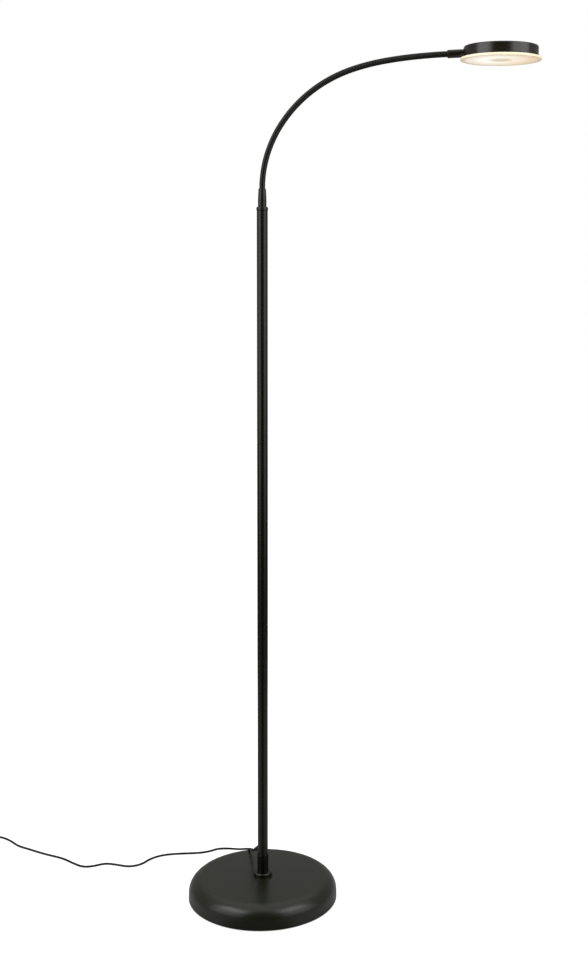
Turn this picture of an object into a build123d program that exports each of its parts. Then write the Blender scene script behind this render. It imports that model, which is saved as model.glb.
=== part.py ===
from build123d import *
from math import cos, degrees, floor, pi, radians, sin, sqrt, tan
import os

# Gooseneck reading floor lamp, millimetres, +Z up.
# The origin is the centre of the base's underside on the floor, the arm reaches along +X.

# ---- Base: pressed steel cover over an iron weight, plate and foam pad ----
base_radius = 117.3
base_height = 34.8          # where the crown meets the rolled shoulder
crown_rise = 2.0
crown_flat_radius = 20.0    # flat seat for the collar
skirt_lean = 0.8
shoulder_radius = 22.7
cover_wall = 1.2
cover_floor_gap = 1.2       # the skirt's edge hangs just above the floor
pad_thickness = 2.6
pad_inset = 3.2             # from the skirt's outside
plate_thickness = 1.5
plate_edge_gap = 0.5
weight_side_gap = 10.1      # between the weight and the skirt's inside
weight_radius = base_radius - cover_wall - weight_side_gap
weight_thickness = 15.0
weight_edge_radius = 5.0
weight_boss_radius = 19.0
plate_screw_count = 3
plate_screw_inset = 22.0    # from the weight's edge
plate_screw_circle = weight_radius - plate_screw_inset
plate_screw_radius = 2.0
plate_screw_head_radius = 4.0   # countersunk, flush with the plate
plate_screw_length = 12.0

# ---- Stem: the threaded rod that clamps base and pole together ----
stem_radius = 5.0
stem_clearance = 0.15
stem_above_seat = 12.0      # how far it reaches into the pole's foot plug
stem_into_well = 1.0        # how far it stops below the plate's top
bar_chamfer = 0.6           # ends of the rod and of the couplers
nut_across_flats = 16.0
nut_height = 6.0
washer_radius = 10.5
washer_thickness = 1.6
nut_well_radius = 13.0
nut_well_depth = 8.0

# ---- Collar and fluted sleeve that hold the pole ----
collar_radius = 14.9
collar_height = 6.2
collar_edge_radius = 2.4
sleeve_radius = 8.8
sleeve_height = 29.0
sleeve_floor = 8.6          # solid bottom, below the pole's end
sleeve_fit = 0.06
sleeve_chamfer = 0.3
flute_count = 12
flute_radius = 1.3
flute_depth = 0.28
flute_margin = 3.0          # plain band at each end of the sleeve

# ---- Pole: three equal steel tubes screwed end to end ----
pole_radius = 8.0
pole_wall = 1.0
tube_length = 338.4
tube_count = 3
tube_end_chamfer = 0.5
plug_fit = 0.06
plug_length = 14.0          # foot plug inside the lowest tube
coupler_length = 44.0
coupler_bore_radius = 3.6

# ---- Cap and lower neck ferrule ----
cap_radius = 8.5
cap_height = 5.6
cap_shoulder_radius = 2.2
cap_edge_radius = 0.5       # lower edge, beside the tube's chamfer
cap_spigot_length = 6.0
ferrule_foot_radius = 6.0
ferrule_max_radius = 6.3
ferrule_max_height = 4.0    # widest from here up to the groove
ferrule_mid_radius = 6.0
ferrule_mid_height = 14.5
ferrule_top_radius = 5.4
ferrule_height = 25.6
ferrule_chamfer = 0.6
ferrule_ring_height = 8.4   # groove above the ferrule's foot
ferrule_ring_depth = 0.35
ferrule_ring_half = 0.5
thread_radius = 4.6         # hollow tail through the cap
thread_length = 15.0
ring_nut_radius = 6.4
ring_nut_height = 4.0
ring_nut_slot_width = 1.6
ring_nut_slot_depth = 2.4
thread_fit = 0.06

# ---- Gooseneck: wound steel tube, cut at ball knuckles into eight stiff links ----
neck_radius = 4.25
link_length = 45.2
link_bend_radii = [159.0, 166.0, 187.0, 194.0, 209.0, 330.0, 620.0, 885.0]
neck_socket_depth = 20.0    # length of neck held inside each ferrule
neck_bore_radius = 1.95
knuckle_gap = 0.3
knuckle_collar = 3.0        # plain length at each end of a link
rib_pitch = 4.4
rib_depth = 0.3
rib_crest_share = 0.6
neck_fit = 0.08

# ---- Leads inside the lamp ----
lead_radius = 1.5
lead_bend_radius = 6.0
head_lead_radius = 1.2

# ---- Head: shallow round housing with a wider opal disc ----
head_radius = 53.3
head_height = 15.3
head_wall = 1.6
head_edge_radius = 2.0
head_tilt = 0.76            # degrees, outer side up
upper_ferrule_radius = 5.7
upper_ferrule_length = 23.0
upper_ferrule_chamfer = 0.6
ferrule_entry_height = 5.8  # of its axis above the housing's rim
head_thread_radius = 3.6
head_thread_length = 7.0
head_nut_across_flats = 9.6
head_nut_height = 3.0
seat_gap = 0.06
head_nut_gap = 0.4          # room of the round wall behind the flat nut

disc_overhang = 5.0
disc_radius = head_radius + disc_overhang
disc_thickness = 3.2
disc_edge_radius = 0.6
disc_gap = 0.5              # shadow line between housing and disc
disc_flange_width = 7.3     # clear flange round the lit area
disc_step_radius = disc_radius - disc_flange_width
disc_step_depth = 0.4
disc_hoop_height = 4.0      # upstand that snaps into the housing
disc_hoop_wall = 1.4
disc_hoop_fit = 0.2
disc_hoop_radius = head_radius - head_wall - disc_hoop_fit
disc_notch_width = 16.0     # room for the nut and the lead
disc_notch_depth = 12.0

board_edge_gap = 2.1
board_radius = disc_hoop_radius - disc_hoop_wall - board_edge_gap
board_thickness = 1.6
board_hole_radius = 17.0
board_screw_count = 3
board_screw_circle = board_radius - 5.0
board_screw_radius = 1.25
board_screw_head_radius = 2.6
board_screw_head_height = 1.5
board_screw_sink = 0.2
chip_length = 3.5
chip_width = 2.8
chip_height = 0.7
chip_ring_step = 12.0       # from the board's edge inwards
chip_counts = [10, 16]      # inner ring, outer ring
touch_radius = 8.0
touch_proud = 0.4
touch_recess = 0.8
touch_edge_radius = 0.3
touch_stem_radius = 2.4
touch_board_radius = 14.0
touch_board_drop = 2.6      # below the housing's ceiling
fit_gap = 0.1
head_lead_first_bend = 0.6  # shares of the way from the housing's wall to the dimmer board
head_lead_last_bend = 0.8
head_lead_bend_radius = 8.0
head_lead_rise = 0.6
head_lead_overlap = 1.0     # end of the lead under the dimmer board

# ---- Power lead: exit at the pole's back, route over the floor, put-away coil, adapter ----
cord_radius = 1.8
gland_rise = 13.0           # where its axis crosses the pole's, above the sleeve
gland_turn = 140.0          # degrees round the pole from +X
gland_fall = 32.0           # degrees below level
gland_root_radius = 5.0
gland_tip_radius = 2.7
gland_reach = 20.0          # from the pole's axis to the tip
gland_sink = 2.5            # start of the nose, inside the tube's outline
gland_hole_radius = 2.9
gland_neck_radius = 2.7
gland_neck_sink = 0.6       # inside the tube's bore
gland_end_wall = 2.0        # the lead inside meets the lead outside here
cord_lead_out = 8.0         # first run, straight out of the gland
cord_corner_share = 0.45    # of the shorter run beside a corner, taken up by its arc
cord_points = [
    (-23.5, 38.5, 61.0), (-29.5, 67.0, 49.0), (-37.0, 95.0, 37.4), (-44.5, 115.0, 30.0),
    (-52.5, 137.0, 19.5), (-61.5, 157.0, 9.5), (-72.0, 170.0, 2.6), (-87.0, 172.5, 1.8),
    (-101.0, 161.0, 1.8), (-118.0, 154.5, 1.8), (-148.0, 152.0, 1.8), (-176.0, 147.0, 1.8),
    (-197.0, 132.0, 1.8), (-209.0, 108.0, 1.8), (-229.0, 99.0, 1.8), (-250.0, 107.0, 1.8),
    (-270.0, 112.0, 1.8), (-287.0, 101.0, 1.8), (-304.0, 97.0, 1.8), (-322.0, 110.0, 1.8),
    (-345.0, 131.0, 1.8), (-378.0, 146.0, 1.8), (-410.0, 166.0, 1.8), (-431.0, 178.0, 1.8),
    (-448.0, 199.0, 1.8), (-467.0, 214.0, 1.8), (-488.0, 219.0, 1.8),
]
coil_start = (-506.0, 219.0, 1.8)
coil_inner_radius = 13.5
coil_pitch = 4.8
coil_layer_rise = 4.4
coil_turns_in = 3.0
coil_climb_turns = 0.5
coil_turns_out = 2.75
coil_sides = 6
tail_length = 30.0
adapter_axis_height = 11.0
adapter_width = 36.0
adapter_height = 22.0
adapter_length = 40.0
adapter_face_thickness = 4.0
adapter_edge_radius = 4.0
adapter_case_chamfer = 1.5
adapter_relief_length = 12.0
adapter_relief_root = 3.6
adapter_relief_tip = 2.5
pin_radius = 2.0
pin_length = 19.0
pin_spacing = 19.0
pin_root = 3.0
pin_fit = 0.05
pin_tip_radius = 1.0

up = Vector(0, 0, 1)


def vertical(x, z, heading):
    """Section plane across the neck at (x, z); heading is in radians from +X towards +Z."""
    return Plane(origin=(x, 0, z), x_dir=(0, 1, 0), z_dir=(cos(heading), 0, sin(heading)))


def point_in(frame, x, y, z):
    """Point (x, y, z) of a placed piece's own frame."""
    return (frame * Pos(x, y, z)).position


def ring(outer, inner, bottom, top):
    """Plain tube or washer about +Z."""
    solid = Pos(0, 0, bottom) * extrude(Circle(outer), amount=top - bottom)
    return solid - Pos(0, 0, bottom - 1) * extrude(Circle(inner), amount=top - bottom + 2)


def disc(radius, bottom, top):
    return Pos(0, 0, bottom) * extrude(Circle(radius), amount=top - bottom)


def turned(points):
    """Solid turned about +Z from an outline of (radius, height) points."""
    outline = Polyline([(r, 0, z) for r, z in points], close=True)
    return revolve(make_face(outline), axis=Axis.Z)


def bell(radius, bottom, height, shoulder):
    """Drum with a leaning skirt, a rolled shoulder and a slightly domed crown."""
    crown = height + crown_rise
    outline = Polyline(
        (0, 0, bottom), (radius, 0, bottom), (radius - skirt_lean, 0, height),
        (crown_flat_radius, 0, crown), (0, 0, crown), close=True)
    solid = revolve(make_face(outline), axis=Axis.Z)
    rim = solid.edges().filter_by(GeomType.CIRCLE).sort_by(lambda e: abs(e.center().Z - height)
                                                             + abs(e.radius - radius))[0]
    return fillet(rim, shoulder)


def hexagon(across_flats, bottom, top):
    nut = RegularPolygon(across_flats / 2, 6, major_radius=False)
    return Pos(0, 0, bottom) * extrude(nut, amount=top - bottom)


def countersunk(shank, head, length):
    """Flat-headed screw, or its hole, upward from the plate's underside."""
    return turned([(0, plate_bottom), (head, plate_bottom), (shank, plate_bottom + head - shank),
                   (shank, plate_bottom + length), (0, plate_bottom + length)])


# ---- levels that several pieces share ----
plate_bottom = pad_thickness
plate_top = plate_bottom + plate_thickness
cover_top = base_height + crown_rise
collar_top = cover_top + collar_height
sleeve_top = collar_top + sleeve_height
gland_height = sleeve_top + gland_rise
pole_bottom = collar_top + sleeve_floor
pole_top = pole_bottom + tube_count * tube_length
cap_top = pole_top + cap_height
neck_start = cap_top + ferrule_height
tube_bore = pole_radius - pole_wall
stem_top = pole_bottom + stem_above_seat
well_top = plate_top + nut_well_depth
parts = {}


def make_base():
    outer = bell(base_radius, cover_floor_gap, base_height, shoulder_radius)
    inner = bell(base_radius - cover_wall, cover_floor_gap - 1, base_height - cover_wall,
                 shoulder_radius - cover_wall)
    parts["base_cover"] = outer - inner - disc(stem_radius + stem_clearance, 0, cover_top + 1)

    parts["base_pad"] = disc(base_radius - pad_inset, 0, pad_thickness)

    plate = ring(base_radius - skirt_lean - cover_wall - plate_edge_gap, nut_well_radius,
                 plate_bottom, plate_top)
    slug = disc(weight_radius, plate_top, plate_top + weight_thickness)
    slug = fillet(slug.edges().group_by(Axis.Z)[-1], weight_edge_radius)
    slug += disc(weight_boss_radius, plate_top, cover_top - cover_wall)
    slug -= disc(stem_radius + stem_clearance, 0, cover_top)
    slug -= disc(nut_well_radius, plate_top - 1, well_top)
    screws = []
    for turn in range(plate_screw_count):
        spot = Rot(0, 0, 360 * turn / plate_screw_count) * Pos(plate_screw_circle, 0, 0)
        hole = spot * countersunk(plate_screw_radius + fit_gap, plate_screw_head_radius + fit_gap,
                                  plate_screw_length + fit_gap)
        plate -= hole
        slug -= hole
        screws.append(spot * countersunk(plate_screw_radius, plate_screw_head_radius, plate_screw_length))
    parts["base_plate"] = plate
    parts["base_weight"] = slug
    parts["base_plate_screws"] = screws


def make_stem():
    rod = disc(stem_radius, plate_top - stem_into_well, stem_top)
    parts["stem_rod"] = chamfer(rod.edges().filter_by(GeomType.CIRCLE), bar_chamfer)
    washer_bottom = well_top - washer_thickness
    parts["stem_washer"] = ring(washer_radius, stem_radius + stem_clearance, washer_bottom, well_top)
    nut = hexagon(nut_across_flats, washer_bottom - nut_height, washer_bottom)
    parts["stem_nut"] = nut - disc(stem_radius + thread_fit, 0, well_top)


def make_collar_and_sleeve():
    collar = disc(collar_radius, cover_top, collar_top)
    collar = fillet(collar.edges().group_by(Axis.Z)[-1], collar_edge_radius)
    parts["pole_collar"] = collar - disc(stem_radius + stem_clearance, cover_top - 1, collar_top + 1)

    sleeve = disc(sleeve_radius, collar_top, sleeve_top)
    sleeve = chamfer(sleeve.edges().group_by(Axis.Z)[-1], sleeve_chamfer)
    groove = disc(flute_radius, collar_top + flute_margin, sleeve_top - flute_margin)
    reach = sleeve_radius - flute_depth + flute_radius
    for turn in range(flute_count):
        sleeve -= Rot(0, 0, 360 * turn / flute_count) * Pos(reach, 0, 0) * groove
    sleeve -= disc(stem_radius + stem_clearance, collar_top - 1, pole_bottom + 1)
    parts["pole_sleeve"] = sleeve - disc(pole_radius + sleeve_fit, pole_bottom, sleeve_top + 1)


def make_pole():
    names = ["pole_tube_lower", "pole_tube_middle", "pole_tube_upper"]
    for number, name in enumerate(names):
        bottom = pole_bottom + number * tube_length
        tube = disc(pole_radius, bottom, bottom + tube_length)
        tube = chamfer(tube.edges().filter_by(GeomType.CIRCLE), tube_end_chamfer)
        parts[name] = tube - disc(tube_bore, bottom - 1, bottom + tube_length + 1)
        if number:
            coupler = disc(tube_bore - plug_fit, bottom - coupler_length / 2, bottom + coupler_length / 2)
            coupler = chamfer(coupler.edges().filter_by(GeomType.CIRCLE), bar_chamfer)
            coupler -= disc(coupler_bore_radius, bottom - coupler_length, bottom + coupler_length)
            parts["pole_coupler_lower" if number == 1 else "pole_coupler_upper"] = coupler
    plug = disc(tube_bore - plug_fit, pole_bottom, pole_bottom + plug_length)
    parts["pole_foot_plug"] = plug - disc(stem_radius + thread_fit, pole_bottom - 1, stem_top)


def make_cap_and_ferrule():
    cap = disc(cap_radius, pole_top, cap_top)
    cap = fillet(cap.edges().group_by(Axis.Z)[-1], cap_shoulder_radius)
    cap = fillet(cap.edges().group_by(Axis.Z)[0], cap_edge_radius)
    cap += disc(tube_bore - plug_fit, pole_top - cap_spigot_length, pole_top + cap_height / 2)
    parts["pole_cap"] = cap - disc(thread_radius + thread_fit, 0, cap_top + 1)

    ring_level = cap_top + ferrule_ring_height
    outline = [
        (neck_bore_radius, cap_top - thread_length), (thread_radius, cap_top - thread_length),
        (thread_radius, cap_top), (ferrule_foot_radius, cap_top),
        (ferrule_max_radius, cap_top + ferrule_max_height),
        (ferrule_max_radius, ring_level - ferrule_ring_half),
        (ferrule_max_radius - ferrule_ring_depth, ring_level),
        (ferrule_max_radius, ring_level + ferrule_ring_half),
        (ferrule_mid_radius, cap_top + ferrule_mid_height),
        (ferrule_top_radius, neck_start - ferrule_chamfer),
        (ferrule_top_radius - ferrule_chamfer, neck_start),
        (neck_radius + neck_fit, neck_start),
        (neck_radius + neck_fit, neck_start - neck_socket_depth),
        (neck_bore_radius, neck_start - neck_socket_depth)]
    parts["neck_ferrule_lower"] = turned(outline)
    nut_top = pole_top - cap_spigot_length
    nut = ring(ring_nut_radius, thread_radius + thread_fit, nut_top - ring_nut_height, nut_top)
    slot = Pos(0, 0, nut_top - ring_nut_height) * Box(
        3 * ring_nut_radius, ring_nut_slot_width, ring_nut_slot_depth)
    parts["neck_ring_nut"] = nut - slot


def neck_stations():
    """Knuckle centres (x, z, heading) from the lower ferrule to the upper one."""
    x, z, heading = 0.0, neck_start, pi / 2
    stations = [(x, z, heading)]
    for bend in link_bend_radii:
        turn = link_length / bend
        x += bend * (sin(heading) - sin(heading - turn))
        z += bend * (cos(heading - turn) - cos(heading))
        heading -= turn
        stations.append((x, z, heading))
    return stations


stations = neck_stations()


def along_link(index, distance):
    """Point and heading at a distance along one link's arc."""
    x, z, heading = stations[index]
    bend = link_bend_radii[index]
    turn = distance / bend
    return (x + bend * (sin(heading) - sin(heading - turn)),
            z + bend * (cos(heading - turn) - cos(heading)), heading - turn)


def ribbed_arc(index):
    """Outside of one link: crests and V-grooves lofted along its arc between plain collars."""
    ribbed = link_length - 2 * knuckle_collar
    count = max(1, floor(ribbed / rib_pitch))
    pitch = ribbed / count
    crest = pitch * rib_crest_share
    rings = [(0.0, neck_radius)]
    for rib in range(count):
        start = knuckle_collar + rib * pitch + (pitch - crest) / 2
        rings.append((start - (pitch - crest) / 2, neck_radius - (rib_depth if rib else 0.0)))
        rings.append((start, neck_radius))
        rings.append((start + crest, neck_radius))
    rings.append((link_length, neck_radius))
    sections = [vertical(*along_link(index, s)) * Circle(r) for s, r in rings]
    return loft(sections, ruled=True)


def neck_core(index, radius, lead_in, lead_out):
    """Round bar through one link, with straight ends of the given lengths."""
    x0, z0, h0 = stations[index]
    x1, z1, h1 = stations[index + 1]
    xm, zm, _ = along_link(index, link_length / 2)
    path = []
    if lead_in:
        path.append(Line((x0 - lead_in * cos(h0), 0, z0 - lead_in * sin(h0)), (x0, 0, z0)))
    path.append(ThreePointArc((x0, 0, z0), (xm, 0, zm), (x1, 0, z1)))
    if lead_out:
        path.append(Line((x1, 0, z1), (x1 + lead_out * cos(h1), 0, z1 + lead_out * sin(h1))))
    begin = vertical(x0 - lead_in * cos(h0), z0 - lead_in * sin(h0), h0)
    return sweep(begin * Circle(radius), path=Wire([edge for line in path for edge in line.edges()]))


def make_neck():
    last = len(link_bend_radii) - 1
    lead_end = sqrt(neck_radius ** 2 - lead_radius ** 2)
    for index in range(last + 1):
        x0, z0, h0 = stations[index]
        x1, z1, h1 = stations[index + 1]
        link = ribbed_arc(index)
        if index == 0:
            link += disc(neck_radius, z0 - neck_socket_depth, z0)
        if index == last:
            link += vertical(x1, z1, h1) * extrude(Circle(neck_radius), amount=neck_socket_depth)
        else:
            link += Pos(x1, 0, z1) * Sphere(neck_radius)
        ends = (neck_socket_depth + 1 if index == 0 else neck_radius + 2, neck_radius + 2)
        if index == last:
            ends = (ends[0], neck_socket_depth + 1)
        link -= neck_core(index, neck_bore_radius, *ends)
        lead = neck_core(index, lead_radius, neck_socket_depth if index == 0 else 0,
                         neck_socket_depth if index == last else lead_end)
        if index:
            cup = Pos(x0, 0, z0) * Sphere(neck_radius + knuckle_gap)
            link -= cup
            lead -= cup
        parts[f"neck_link_{index + 1}"] = link
        parts[f"neck_lead_{index + 1}"] = lead


# ---- head: built level about its rim's centre, then set on the end of the neck ----
neck_end_x, neck_end_z, neck_end_heading = stations[-1]
entry_x = neck_end_x + upper_ferrule_length * cos(neck_end_heading)
entry_z = neck_end_z + upper_ferrule_length * sin(neck_end_heading)
tilt = radians(head_tilt)
head_x = entry_x + head_radius * cos(tilt) + ferrule_entry_height * sin(tilt)
head_z = entry_z + head_radius * sin(tilt) - ferrule_entry_height * cos(tilt)
head_place = Pos(head_x, 0, head_z) * Rot(0, -head_tilt, 0)
ceiling = head_height - head_wall


def make_head_shell():
    outer = disc(head_radius, 0, head_height)
    outer = fillet(outer.edges().group_by(Axis.Z)[-1], head_edge_radius)
    inner = disc(head_radius - head_wall, -1, ceiling)
    inner = fillet(inner.edges().group_by(Axis.Z)[-1], head_edge_radius - head_wall)
    shell = outer - inner
    shell -= disc(touch_radius + fit_gap, head_height - touch_recess, head_height + 1)
    shell -= disc(touch_stem_radius + fit_gap, 0, head_height)
    shell = head_place * shell
    shell -= ferrule_axis() * disc(head_thread_radius + thread_fit, -5, head_thread_length)
    parts["head_shell"] = shell

    touch = disc(touch_radius, head_height - touch_recess, head_height + touch_proud)
    touch = fillet(touch.edges().group_by(Axis.Z)[-1], touch_edge_radius)
    board_top = ceiling - touch_board_drop
    touch += disc(touch_stem_radius, board_top, head_height - touch_recess / 2)
    parts["touch_button"] = head_place * touch
    parts["touch_board"] = head_place * disc(touch_board_radius, board_top - board_thickness, board_top)


def ferrule_axis():
    """Frame at the housing wall with +Z along the upper ferrule, towards the head."""
    return vertical(entry_x, entry_z, neck_end_heading).location


def make_head_joint():
    socket = upper_ferrule_length - neck_socket_depth
    body = Pos(0, 0, -upper_ferrule_length) * extrude(Circle(upper_ferrule_radius),
                                                       amount=upper_ferrule_length + 3)
    body = chamfer(body.edges().group_by(Axis.Z)[0], upper_ferrule_chamfer)
    body = ferrule_axis() * body
    body -= head_place * disc(head_radius + seat_gap, -10, head_height + 10)
    body += ferrule_axis() * disc(head_thread_radius, -2, head_thread_length)
    body -= ferrule_axis() * disc(neck_bore_radius, -socket - 1, head_thread_length + 1)
    body -= ferrule_axis() * disc(neck_radius + neck_fit, -upper_ferrule_length - 1, -socket)
    parts["neck_ferrule_upper"] = body
    nut_start = head_wall + seat_gap + head_nut_gap
    nut = hexagon(head_nut_across_flats, nut_start, nut_start + head_nut_height)
    nut -= disc(head_thread_radius + thread_fit, 0, head_thread_length + 2)
    parts["head_nut"] = ferrule_axis() * nut


def make_disc():
    top = -disc_gap
    bottom = top - disc_thickness
    plate = disc(disc_radius, bottom, top)
    plate = fillet(plate.edges().filter_by(GeomType.CIRCLE), disc_edge_radius)
    plate -= disc(disc_step_radius, bottom - 1, bottom + disc_step_depth)
    hoop = ring(disc_hoop_radius, disc_hoop_radius - disc_hoop_wall, top - disc_gap, disc_hoop_height)
    hoop -= Pos(-disc_hoop_radius, 0, top + disc_hoop_height) * Box(
        disc_notch_depth, disc_notch_width, 2 * disc_hoop_height)
    parts["diffuser_disc"] = head_place * (plate + hoop)


def make_board():
    bottom = ceiling - board_thickness
    board = ring(board_radius, board_hole_radius, bottom, ceiling)
    screws = []
    for turn in range(board_screw_count):
        spot = Rot(0, 0, 60 + 360 * turn / board_screw_count) * Pos(board_screw_circle, 0, 0)
        board -= spot * disc(board_screw_radius + fit_gap, bottom - 1, ceiling + 1)
        screw = disc(board_screw_radius, bottom - board_screw_sink, ceiling)
        screw += disc(board_screw_head_radius, bottom - board_screw_head_height, bottom)
        screws.append(head_place * spot * screw)
    parts["led_board"] = head_place * board
    parts["led_board_screws"] = screws
    chips = []
    for number, count in enumerate(chip_counts):
        circle = board_radius - chip_ring_step * (len(chip_counts) - number)
        for turn in range(count):
            chip = Box(chip_length, chip_width, chip_height)
            spot = Rot(0, 0, 360 * (turn + 0.5) / count) * Pos(circle, 0, bottom - chip_height / 2)
            chips.append(head_place * spot * chip)
    parts["led_chips"] = chips


def make_head_lead():
    """Short lead from the ferrule's bore to the dimmer board's edge."""
    level = ceiling - touch_board_drop - board_thickness - head_lead_radius - fit_gap
    way = head_radius - touch_board_radius
    start = point_in(ferrule_axis(), 0, 0, head_thread_length + head_lead_rise)
    middle = point_in(head_place, way * head_lead_first_bend - head_radius, 0,
                      ferrule_entry_height + head_lead_rise)
    bend = point_in(head_place, way * head_lead_last_bend - head_radius, 0, level)
    end = point_in(head_place, head_lead_overlap - touch_board_radius, 0, level)
    path = FilletPolyline(start, middle, bend, end, radius=head_lead_bend_radius)
    first = Plane(origin=start, z_dir=middle - start)
    parts["head_lead"] = sweep(first * Circle(head_lead_radius), path=path)


def gland_frame():
    """Frame on the pole's axis at the gland, with +Z along the lead as it leaves."""
    turn, fall = radians(gland_turn), radians(gland_fall)
    out = Vector(cos(fall) * cos(turn), cos(fall) * sin(turn), -sin(fall))
    return Plane(origin=(0, 0, gland_height), x_dir=out.cross(up), z_dir=out)


def make_gland_and_pole_lead():
    frame = gland_frame()
    hole = frame * extrude(Circle(gland_hole_radius), amount=gland_reach)
    parts["pole_tube_lower"] -= hole
    root = pole_radius - gland_sink
    body = frame * Pos(0, 0, root) * Cone(gland_root_radius, gland_tip_radius, gland_reach - root,
                                          align=(Align.CENTER, Align.CENTER, Align.MIN))
    body -= disc(pole_radius + seat_gap, 0, pole_top)
    neck = frame * extrude(Circle(gland_neck_radius), amount=gland_reach - gland_end_wall)
    neck -= disc(tube_bore - gland_neck_sink, 0, pole_top)
    body += neck
    bore_end = gland_reach - gland_end_wall
    parts["cord_gland"] = body - frame * extrude(Circle(lead_radius + fit_gap), amount=bore_end)

    out = frame.z_dir
    start = frame.origin + out * bore_end
    knee = frame.origin
    rise = neck_start - neck_socket_depth
    path = FilletPolyline(start, knee, Vector(0, 0, rise), radius=lead_bend_radius)
    parts["pole_lead"] = sweep(Plane(origin=start, z_dir=-out) * Circle(lead_radius), path=path)


def cord_route():
    frame = gland_frame()
    tip = frame.origin + frame.z_dir * gland_reach
    first = tip + frame.z_dir * cord_lead_out
    return [tip, first] + [Vector(*p) for p in cord_points] + [Vector(*coil_start)]


def make_cord():
    route = cord_route()
    radii, turns = [], []
    for before, at, after in zip(route, route[1:], route[2:]):
        arrive, leave = at - before, after - at
        angle = radians(arrive.get_angle(leave))
        shorter = min(arrive.length, leave.length)
        radii.append(cord_corner_share * shorter / tan(angle / 2))
        turns.append(degrees(angle))
    path = FilletPolyline(*route, radius=radii)
    start = Plane(origin=route[0], z_dir=route[1] - route[0])
    cord = sweep(start * Circle(cord_radius), path=path)
    parts["power_cord"] = cord
    section = pi * cord_radius ** 2
    print(f"cord: {len(radii)} arcs, smallest radius {min(radii):.1f}, largest turn {max(turns):.0f}")
    print(f"cord: length {path.length:.1f}, volume {cord.volume:.0f} of {section * path.length:.0f}")


def biarc(p0, t0, p1, t1):
    """Two tangent arcs from p0 along t0 to p1 along t1."""
    chord = p1 - p0
    a, b, c = 2 * (1 - t0.dot(t1)), 2 * chord.dot(t0 + t1), -chord.dot(chord)
    handle = -c / b if abs(a) < 1e-9 else (-b + sqrt(b * b - 4 * a * c)) / (2 * a)
    q0, q1 = p0 + t0 * handle, p1 - t1 * handle
    middle = (q0 + q1) / 2
    return [Edge.make_tangent_arc(p0, t0, middle), Edge.make_tangent_arc(middle, q1 - q0, p1)]


def coil_point(turns):
    """Point on the coil after a number of turns: in, up a layer over half a turn, and out."""
    outer = coil_inner_radius + coil_turns_in * coil_pitch
    inward = min(turns, coil_turns_in)
    climb = min(max(turns - coil_turns_in, 0) / coil_climb_turns, 1)
    outward = max(turns - coil_turns_in - coil_climb_turns, 0)
    radius = outer - (inward - outward) * coil_pitch
    angle = pi / 2 + 2 * pi * turns
    return Vector(*coil_start) + Vector(radius * cos(angle), radius * sin(angle) - outer,
                                        coil_layer_rise * climb)


def coil_tangent(turns):
    """Level tangent of the coil, so that the climb starts and ends level."""
    step = 0.001
    ahead = coil_point(turns + step) - coil_point(turns)
    return Vector(ahead.X, ahead.Y, 0).normalized()


def make_coil():
    """Two-layer flat coil as a run of biarcs, then its last stretch to the adapter's mouth."""
    travel, level = Vector(-1, 0, 0), Vector(0, -1, 0)
    straight = 2 * cord_radius
    start = Vector(*coil_start)
    shift = travel * straight
    total = coil_turns_in + coil_climb_turns + coil_turns_out
    stops = [(start + shift, travel)]
    for half in range(1, floor(2 * total) + 1):
        stops.append((coil_point(half / 2) + shift, coil_tangent(half / 2)))
    leave = coil_point(total) + shift
    landing = Vector(leave.X, leave.Y - tail_length, adapter_axis_height)
    finish = landing + level * straight
    stops += [(leave, level), (landing, level)]
    edges = [Edge.make_line(start, stops[0][0])]
    for (p0, t0), (p1, t1) in zip(stops, stops[1:]):
        edges += biarc(p0, t0, p1, t1)
    edges.append(Edge.make_line(landing, finish))
    path = Wire(edges)
    hexagonal = Plane(origin=start, z_dir=travel) * RegularPolygon(
        cord_radius, coil_sides, rotation=30)
    parts["cord_coil"] = sweep(hexagonal, path=path)
    report_coil(path, parts["cord_coil"])
    return finish


def report_coil(path, coil):
    """Least gap between turns, from points along the path, and the volume against its length."""
    count = 900
    points = [path.position_at(k / count) for k in range(count + 1)]
    step = path.length / count
    apart = int(6 * cord_radius / step)
    least = min((points[i] - points[j]).length
                for i in range(0, count + 1, 2) for j in range(i + apart, count + 1, 2))
    side_area = coil_sides / 2 * cord_radius ** 2 * sin(2 * pi / coil_sides)
    print(f"coil: length {path.length:.1f}, least gap to itself {least - 2 * cord_radius:.2f}")
    print(f"coil: volume {coil.volume:.0f} of {side_area * path.length:.0f}")


def make_adapter(mouth):
    """Plug-in power adapter lying beside the coil, its lead entering at mouth along -Y."""
    along = Plane(origin=mouth, x_dir=(1, 0, 0), z_dir=(0, -1, 0))
    relief = along * Cone(adapter_relief_tip, adapter_relief_root, adapter_relief_length,
                          align=(Align.CENTER, Align.CENTER, Align.MIN))
    parts["adapter_relief"] = relief
    case_start = adapter_relief_length
    case = Pos(0, 0, case_start) * extrude(
        RectangleRounded(adapter_width, adapter_height, adapter_edge_radius), amount=adapter_length)
    case = chamfer(case.edges().group_by(Axis.Z)[0], adapter_case_chamfer)
    parts["adapter_case"] = along * case
    face_start = case_start + adapter_length
    face = Pos(0, 0, face_start) * extrude(
        RectangleRounded(adapter_width, adapter_height, adapter_edge_radius), amount=adapter_face_thickness)
    face_end = face_start + adapter_face_thickness
    pins = []
    for side in (-1, 1):
        spot = Pos(side * pin_spacing / 2, 0, 0)
        face -= spot * disc(pin_radius + pin_fit, face_end - pin_root, face_end + 1)
        pin = disc(pin_radius, face_end - pin_root, face_end + pin_length)
        pin = fillet(pin.edges().group_by(Axis.Z)[-1], pin_tip_radius)
        pins.append(along * spot * pin)
    parts["adapter_face"] = along * face
    parts["adapter_pins"] = pins


def write(name, shape):
    solids = shape if isinstance(shape, list) else [shape]
    bodies = [solid for piece in solids for solid in piece.solids()]
    export_step(bodies[0] if len(bodies) == 1 else Compound(bodies), f"parts/{name}.step")


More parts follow.
